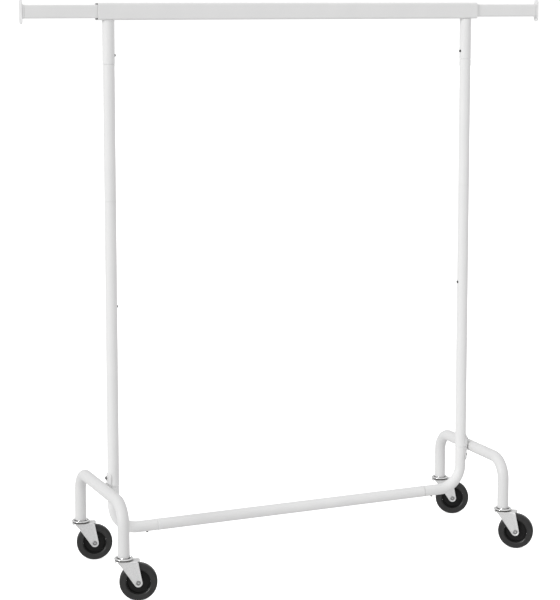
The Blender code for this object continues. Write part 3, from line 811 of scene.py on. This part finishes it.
def tyre_mesh(radius, width, inner):
    """A tyre with a slightly crowned tread, a groove beside each shoulder and a rolled inner edge."""
    half = width / 2
    shoulder, groove = radius - 0.0012, radius - 0.0028
    upper = [
        (inner, half - 0.0034, 0.0004),
        (inner + 0.0008, half - 0.0014, 0.0008),
        (inner + 0.0034, half, 0.0012),
        (radius - 0.0052, half, 0.0020),
        (shoulder, half - 0.0018, 0.0006),
        (shoulder, half - 0.0030, 0.0004),
        (groove, half - 0.0034, 0.0003),
        (groove, half - 0.0044, 0.0003),
        (radius - 0.0004, half - 0.0050, 0.0008),
    ]
    crown = (radius - 0.00001, 0, 0.1)
    lower = [(reach, -height, size) for reach, height, size in reversed(upper)]
    outline = fillet([*upper, crown, *lower], 0.0003, 5)
    return turned(outline, WHEEL_STEPS)


def hub_mesh(rim_r, width, axle_r):
    """A deeply dished hub: thin rim, recessed web, and a long boss on the axle."""
    boss, rim, web = width / 2, width / 2 - 0.0045, 0.0042
    boss_r, wall_r, draft = 0.0100, rim_r - 0.0022, 0.0016
    upper = fillet(
        (
            (axle_r, boss, 0.0003),
            (boss_r, boss, 0.0012),
            (boss_r + draft, web, 0.0016),
            (wall_r - 0.0012, web, 0.0022),
            (wall_r, rim, 0.0005),
            (rim_r, rim, 0.0005),
        ),
        0.0005,
        5,
        closed=False,
    )
    upper = supported(upper, closed=False)
    outline = upper + [(radius, -height) for radius, height in reversed(upper)]
    return turned(outline, WHEEL_STEPS)


def rivet_mesh(half, shaft_r, head_r):
    """A tubular axle rivet: its ends are rolled over into rounded heads round a hole."""
    seat, rim = half - 0.0032, half - 0.0004
    hole_r, hole_depth = 0.0030, 0.0120
    upper = fillet(
        (
            (0, half - hole_depth),
            (hole_r, half - hole_depth, 0.0004),
            (hole_r, half, 0.0012),
            (head_r, rim, 0.0020),
            (head_r, seat, 0.0003),
            (shaft_r, seat),
        ),
        0.0002,
        6,
        closed=False,
    )
    profile = upper + [(radius, -height) for radius, height in reversed(upper)]
    return turned(profile, 40)


def race_mesh():
    """Grip plug, dished upper race with rolled edge, and king pin, on the axis of the swivel."""
    low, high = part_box("caster_stem_front_left")
    race_r = (high.x - low.x) / 2
    plug_r = TUBE_R - TUBE_WALL - 0.0006
    seat_z, ring_z, widest_z, under_z = 0.1150, 0.1195, 0.1172, 0.1146
    bearing_r, bearing_z = race_r - 0.0052, 0.1124
    pin_r, pin_head_r, pin_head_z = 0.0050, 0.0080, 0.1092
    profile = fillet(
        (
            (0, high.z),
            (plug_r * 0.85, high.z, 0.002),
            (plug_r, high.z - 0.004, 0.002),
            (plug_r, seat_z, 0.0008),
            (plug_r + 0.0042, seat_z, 0.0010),
            (plug_r + 0.0056, ring_z - 0.0003, 0.0008),
            (race_r - 0.0030, ring_z, 0.0020),
            (race_r, widest_z, 0.0022),
            (race_r - 0.0012, under_z, 0.0012),
            (race_r - 0.0050, under_z - 0.0004, 0.0008),
            (bearing_r, bearing_z, 0.0006),
            (pin_r + 0.0002, bearing_z, 0.0004),
            (pin_r, pin_head_z, 0.0),
            (pin_head_r, pin_head_z, 0.0004),
            (pin_head_r - 0.0014, low.z, 0.001),
            (0, low.z),
        ),
        0.0003,
        6,
        closed=False,
    )
    return turned(profile)


# The fork, seen from the side with the swivel's axis at x = 0 and the floor at z = 0
CROWN_TOP_Z = 0.1120
CROWN_R = 0.025
CROWN_REAR = 0.0438
CROWN_REAR_CORNER = 0.014
FORK_SHEET = 0.0025
FORK_BEND_R = 0.0045
FORK_TIP_R = 0.0115
FORK_KNEE = (-0.0012, 0.0895)
FORK_SHOULDER_X = -0.0205
FORK_REAR_TOP = (0.0011, 0.1060)  # its x is counted from the axle
FORK_RIM = 0.0038
FORK_EMBOSS = 0.0010
RIM_BAND = FORK_RIM * 1.3
SKIRT_R = 0.0026
SKIRT_DROP = 0.0022
REAR_COLUMNS = (0.25, 0.5, 0.75, 0.76, 0.82, 0.88, 0.93, 0.97, 0.99, 1)


def tangent_point(centre, radius, point, side):
    """Where the line from the point touches the circle."""
    across, up = point[0] - centre[0], point[1] - centre[1]
    angle = atan2(up, across) + side * acos(radius / hypot(across, up))
    return (centre[0] + radius * cos(angle), centre[1] + radius * sin(angle))


def cheek_edges(axle, z):
    """(front x, rear x) of the fork's cheek at a height."""
    knee, rear_top = FORK_KNEE, (axle[0] + FORK_REAR_TOP[0], FORK_REAR_TOP[1])
    front_touch = tangent_point(axle, FORK_TIP_R, knee, 1)
    rear_touch = tangent_point(axle, FORK_TIP_R, rear_top, -1)
    round_part = sqrt(max(FORK_TIP_R**2 - (z - axle[1]) ** 2, 0))
    if z < front_touch[1]:
        front = axle[0] - round_part
    elif z < knee[1]:
        share = (z - front_touch[1]) / (knee[1] - front_touch[1])
        front = front_touch[0] + share * (knee[0] - front_touch[0])
    else:
        share = (z - knee[1]) / (CROWN_TOP_Z - knee[1])
        slope = (knee[0] - front_touch[0]) / (knee[1] - front_touch[1]) * (CROWN_TOP_Z - knee[1])
        sweep = FORK_SHOULDER_X - knee[0] - slope
        front = knee[0] + slope * share + sweep * share**3
    if z < rear_touch[1]:
        rear = axle[0] + round_part
    else:
        share = min((z - rear_touch[1]) / (rear_top[1] - rear_touch[1]), 1)
        rear = rear_touch[0] + share * (rear_top[0] - rear_touch[0])
    return front, rear


def fork_stations(axle, half_width):
    """Points up one cheek, round the bend and half way over the crown: (y, z, outward y, outward z)."""
    tip_steps, cheek_steps, bend_steps, crown_steps = 12, 26, 8, 10
    just_inside = 0.9995
    stations = []
    for index in range(tip_steps + 1):
        turn = pi / 2 * index / tip_steps
        stations.append((half_width, axle[1] - FORK_TIP_R * cos(turn) * just_inside, 1, 0))
    start, end = axle[1], CROWN_TOP_Z - FORK_BEND_R
    for index in range(1, cheek_steps):
        stations.append((half_width, start + (end - start) * index / cheek_steps, 1, 0))
    for index in range(bend_steps + 1):
        turn = pi / 2 * index / bend_steps
        y = half_width - FORK_BEND_R + FORK_BEND_R * cos(turn)
        z = CROWN_TOP_Z - FORK_BEND_R + FORK_BEND_R * sin(turn)
        stations.append((y, z, cos(turn), sin(turn)))
    flat = half_width - FORK_BEND_R
    for index in range(1, crown_steps + 1):
        stations.append((flat * (1 - index / crown_steps), CROWN_TOP_Z, 0, 1))
    return stations


def skirt_columns():
    """The crown's front edge turned down: (in from the front, drop, forward normal, upward normal)."""
    columns = [(0, SKIRT_R + SKIRT_DROP, 1, 0), (0, SKIRT_R + SKIRT_DROP * 0.4, 1, 0)]
    steps = 6
    for index in range(steps, -1, -1):
        turn = pi / 2 * index / steps
        columns.append((SKIRT_R * (1 - sin(turn)), SKIRT_R * (1 - cos(turn)), sin(turn), cos(turn)))
    return columns


def row_ends(axle, half_width, station):
    """(front x, rear x) of the sheet at a station. The crown's front is round, its rear corners too."""
    y, z, _, out_z = station
    front, rear = cheek_edges(axle, z)
    if out_z < 0.02:
        return front, rear
    low_front, low_rear = cheek_edges(axle, CROWN_TOP_Z - FORK_BEND_R)
    crown_front = -sqrt(max(CROWN_R**2 - y * y, 0))
    corner = min(max(abs(y) - (half_width - CROWN_REAR_CORNER), 0), CROWN_REAR_CORNER * 0.99)
    crown_rear = CROWN_REAR - (CROWN_REAR_CORNER - sqrt(CROWN_REAR_CORNER**2 - corner**2))
    front = low_front + (crown_front - low_front) * smooth(out_z)
    rear = low_rear + (crown_rear - low_rear) * smooth(out_z)
    return front, rear


def fork_row(axle, half_width, station):
    """One row of the fork's sheet, from its front edge to its rear: (outer points, inner points).

    Its first columns follow the rim on a cheek, and turn down as a skirt on the crown.
    """
    y, z, out_y, out_z = station
    front, rear = row_ends(axle, half_width, station)
    curl = smooth(out_z)
    skirt = skirt_columns()
    shrink = min(1, (rear - front) / 2 / (RIM_BAND * 1.05))
    columns = []
    for index, (in_x, drop, forward, upward) in enumerate(skirt):
        place = RIM_BAND * index / (len(skirt) - 1)
        x = front + place * shrink * (1 - curl) + in_x * curl
        normal = Vector((-forward * curl, out_y, out_z * (1 - curl + upward * curl))).normalized()
        columns.append((Vector((x, y, z - drop * curl)), normal))
    start = columns[-1][0].x
    for share in REAR_COLUMNS:
        columns.append((Vector((start + (rear - start) * share, y, z)), Vector((0, out_y, out_z))))
    outer, inner = [], []
    for base, normal in columns:
        raised = rim_height(axle, base.x, z, front, rear) * (1 - min(out_z * 2, 1))
        outer.append(base + normal * raised)
        inner.append(base - normal * (FORK_SHEET - raised))
    return outer, inner


def rim_height(axle, x, z, front, rear):
    """How far the pressed rim stands out of the cheek's face at a point."""
    across, flat_part, edge_share, edge_round = 0.86, 0.55, 0.35, 0.0008
    if z <= axle[1]:
        edge = FORK_TIP_R - hypot(x - axle[0], z - axle[1])
    else:
        edge = min(x - front, rear - x) * across
    inner_slope = 1 - smooth((edge / FORK_RIM - flat_part) / (1 - flat_part))
    return FORK_EMBOSS * inner_slope * smooth(edge_share + edge / edge_round)


def fork_mesh(axle, half_width):
    """A pressed fork: one sheet bent over a round crown, its cheeks' edges raised as a rim."""
    stations = fork_stations(axle, half_width)
    mirrored = [(-y, z, -out_y, out_z) for y, z, out_y, out_z in reversed(stations[:-1])]
    rows = [fork_row(axle, half_width, station) for station in stations + mirrored]
    return skin([outer + inner[::-1] for outer, inner in rows])


def smooth(share):
    share = min(max(share, 0), 1)
    return share * share * (3 - 2 * share)


def build_casters():
    """Four casters from the same five meshes, each turned to the angle that its axle has in the frame."""
    fork_half, rivet_half, shaft_r, clearance = 0.018, 0.0215, 0.0040, 0.0003
    tyre_width, tyre_inner_r, hub_width = 0.025, 0.033, 0.029
    stem_mesh = race_mesh()
    first = middle("caster_stem_front_left")
    first_axle = middle("caster_axle_front_left")
    trail = hypot(first_axle.x - first.x, first_axle.y - first.y)
    wheel_r = first_axle.z
    axle = (trail, wheel_r)
    head_r = extent("caster_axle_front_left").z / 2
    fork = fork_mesh(axle, fork_half)
    rivet = moved(rivet_mesh(rivet_half, shaft_r, head_r), ALONG_Y)
    tyre = moved(tyre_mesh(wheel_r, tyre_width, tyre_inner_r), ALONG_Y)
    hub = moved(hub_mesh(tyre_inner_r - clearance, hub_width, shaft_r + clearance), ALONG_Y)
    for name in ("front_left", "rear_left", "front_right", "rear_right"):
        stem, pin = middle("caster_stem_" + name), middle("caster_axle_" + name)
        turn = Matrix.Rotation(atan2(pin.y - stem.y, pin.x - stem.x), 4, "Z")
        foot = Matrix.Translation((stem.x, stem.y, 0)) @ turn
        at_axle = foot @ Matrix.Translation((trail, 0, wheel_r))
        stand_for("caster_stem_" + name, stem_mesh, foot)
        stand_for("caster_fork_" + name, fork, foot)
        stand_for("caster_axle_" + name, rivet, at_axle)
        stand_for("caster_tyre_" + name, tyre, at_axle)
        stand_for("caster_hub_" + name, hub, at_axle)


def dress_hidden_nodes():
    """Nodes that keep their CAD shape take the look of their slot."""
    for node, obj in frame["nodes"].items():
        if not obj.hide_render:
            obj.data.materials.clear()
            obj.data.materials.append(LOOKS[SLOT_OF[node]])


# Stage, light and camera


def stage_material():
    material = bpy.data.materials.new("stage_white")
    material.use_nodes = True
    shader = material.node_tree.nodes["Principled BSDF"]
    shader.inputs["Base Color"].default_value = (0.9, 0.9, 0.9, 1)
    shader.inputs["Roughness"].default_value = 1.0
    shader.inputs["Specular IOR Level"].default_value = 0.0
    shader.inputs["Emission Color"].default_value = (1, 1, 1, 1)
    shader.inputs["Emission Strength"].default_value = FLOOR_GLOW
    return material


def stage_piece(name, mesh, material):
    obj = bpy.data.objects.new(name, mesh)
    mesh.materials.append(material)
    bpy.context.scene.collection.objects.link(obj)
    obj.visible_diffuse = False
    obj.visible_glossy = False
    return obj


def build_stage():
    white = stage_material()
    mesh = bpy.data.meshes.new("floor")
    work = bmesh.new()
    bmesh.ops.create_circle(work, cap_ends=True, segments=64, radius=STAGE_R)
    work.to_mesh(mesh)
    work.free()
    stage_piece("floor", mesh, white)

    dome_mesh = bpy.data.meshes.new("backdrop")
    work = bmesh.new()
    bmesh.ops.create_uvsphere(work, u_segments=32, v_segments=16, radius=STAGE_R)
    work.to_mesh(dome_mesh)
    work.free()
    glow = bpy.data.materials.new("backdrop_white")
    glow.use_nodes = True
    shader = glow.node_tree.nodes["Principled BSDF"]
    shader.inputs["Base Color"].default_value = (0, 0, 0, 1)
    shader.inputs["Emission Color"].default_value = (1, 1, 1, 1)
    shader.inputs["Emission Strength"].default_value = BACKDROP_GLOW
    dome = stage_piece("backdrop", dome_mesh, glow)
    dome.visible_shadow = False


def facing(azimuth, height):
    """The direction at an azimuth to the left of the front and a height above the horizon."""
    return (-sin(azimuth) * cos(height), -cos(azimuth) * cos(height), sin(height))


def build_light():
    """A soft studio: a bright room, darker low down in front, and a soft key from the left."""
    world = bpy.data.worlds.new("studio")
    bpy.context.scene.world = world
    world.use_nodes = True
    nodes, links = world.node_tree.nodes, world.node_tree.links
    direction = nodes.new("ShaderNodeTexCoord").outputs["Generated"]

    def spread(source, *ends):
        """The source mapped from the first two ends to the last two."""
        node = nodes.new("ShaderNodeMapRange")
        for name, value in zip(("From Min", "From Max", "To Min", "To Max"), ends):
            node.inputs[name].default_value = value
        links.new(source, node.inputs["Value"])
        return node.outputs["Result"]

    def towards(azimuth, height):
        node = nodes.new("ShaderNodeVectorMath")
        node.operation = "DOT_PRODUCT"
        node.inputs[1].default_value = facing(azimuth, height)
        links.new(direction, node.inputs[0])
        return node.outputs["Value"]

    def combine(operation, *sources):
        node = nodes.new("ShaderNodeMath")
        node.operation = operation
        for socket, source in zip(node.inputs, sources):
            links.new(source, socket)
        return node.outputs["Value"]

    parts = nodes.new("ShaderNodeSeparateXYZ")
    links.new(direction, parts.inputs["Vector"])
    low = spread(combine("ABSOLUTE", parts.outputs["Z"]), 0, HORIZON_REACH, 1, 0)
    front = spread(towards(SKY_AZIMUTH, 0), 0.1, 0.7, 0, 1)
    dark = spread(combine("MULTIPLY", low, front), 0, 1, 1, 1 - HORIZON_DIM)
    room = spread(towards(SKY_AZIMUTH, SKY_HEIGHT), 0, 1, ROOM_LIGHT, ROOM_LIGHT + ROOM_SLOPE)
    nodes["Background"].inputs["Color"].default_value = (1, 1, 1, 1)
    links.new(combine("MULTIPLY", room, dark), nodes["Background"].inputs["Strength"])

    key = bpy.data.lights.new("key", "SUN")
    key.energy = KEY_STRENGTH
    key.angle = KEY_SPREAD
    sun = bpy.data.objects.new("key", key)
    bpy.context.scene.collection.objects.link(sun)
    sun.rotation_euler = (pi / 2 - KEY_HEIGHT, 0, -KEY_AZIMUTH)


def build_camera():
    lens = bpy.data.cameras.new("camera")
    lens.lens = CAMERA_LENS
    lens.shift_y = CAMERA_SHIFT_Y
    camera = bpy.data.objects.new("camera", lens)
    bpy.context.scene.collection.objects.link(camera)
    camera.location = CAMERA_PLACE
    camera.rotation_euler = (pi / 2 - CAMERA_TILT, 0, -CAMERA_AZIMUTH)
    bpy.context.scene.camera = camera


LOOKS = make_materials()
build_rail()
build_uprights()
build_bottom_bar()
build_legs()
build_buttons()
build_springs()
build_casters()
dress_hidden_nodes()
build_stage()
build_light()
build_camera()
bpy.context.scene.view_settings.view_transform = "Standard"
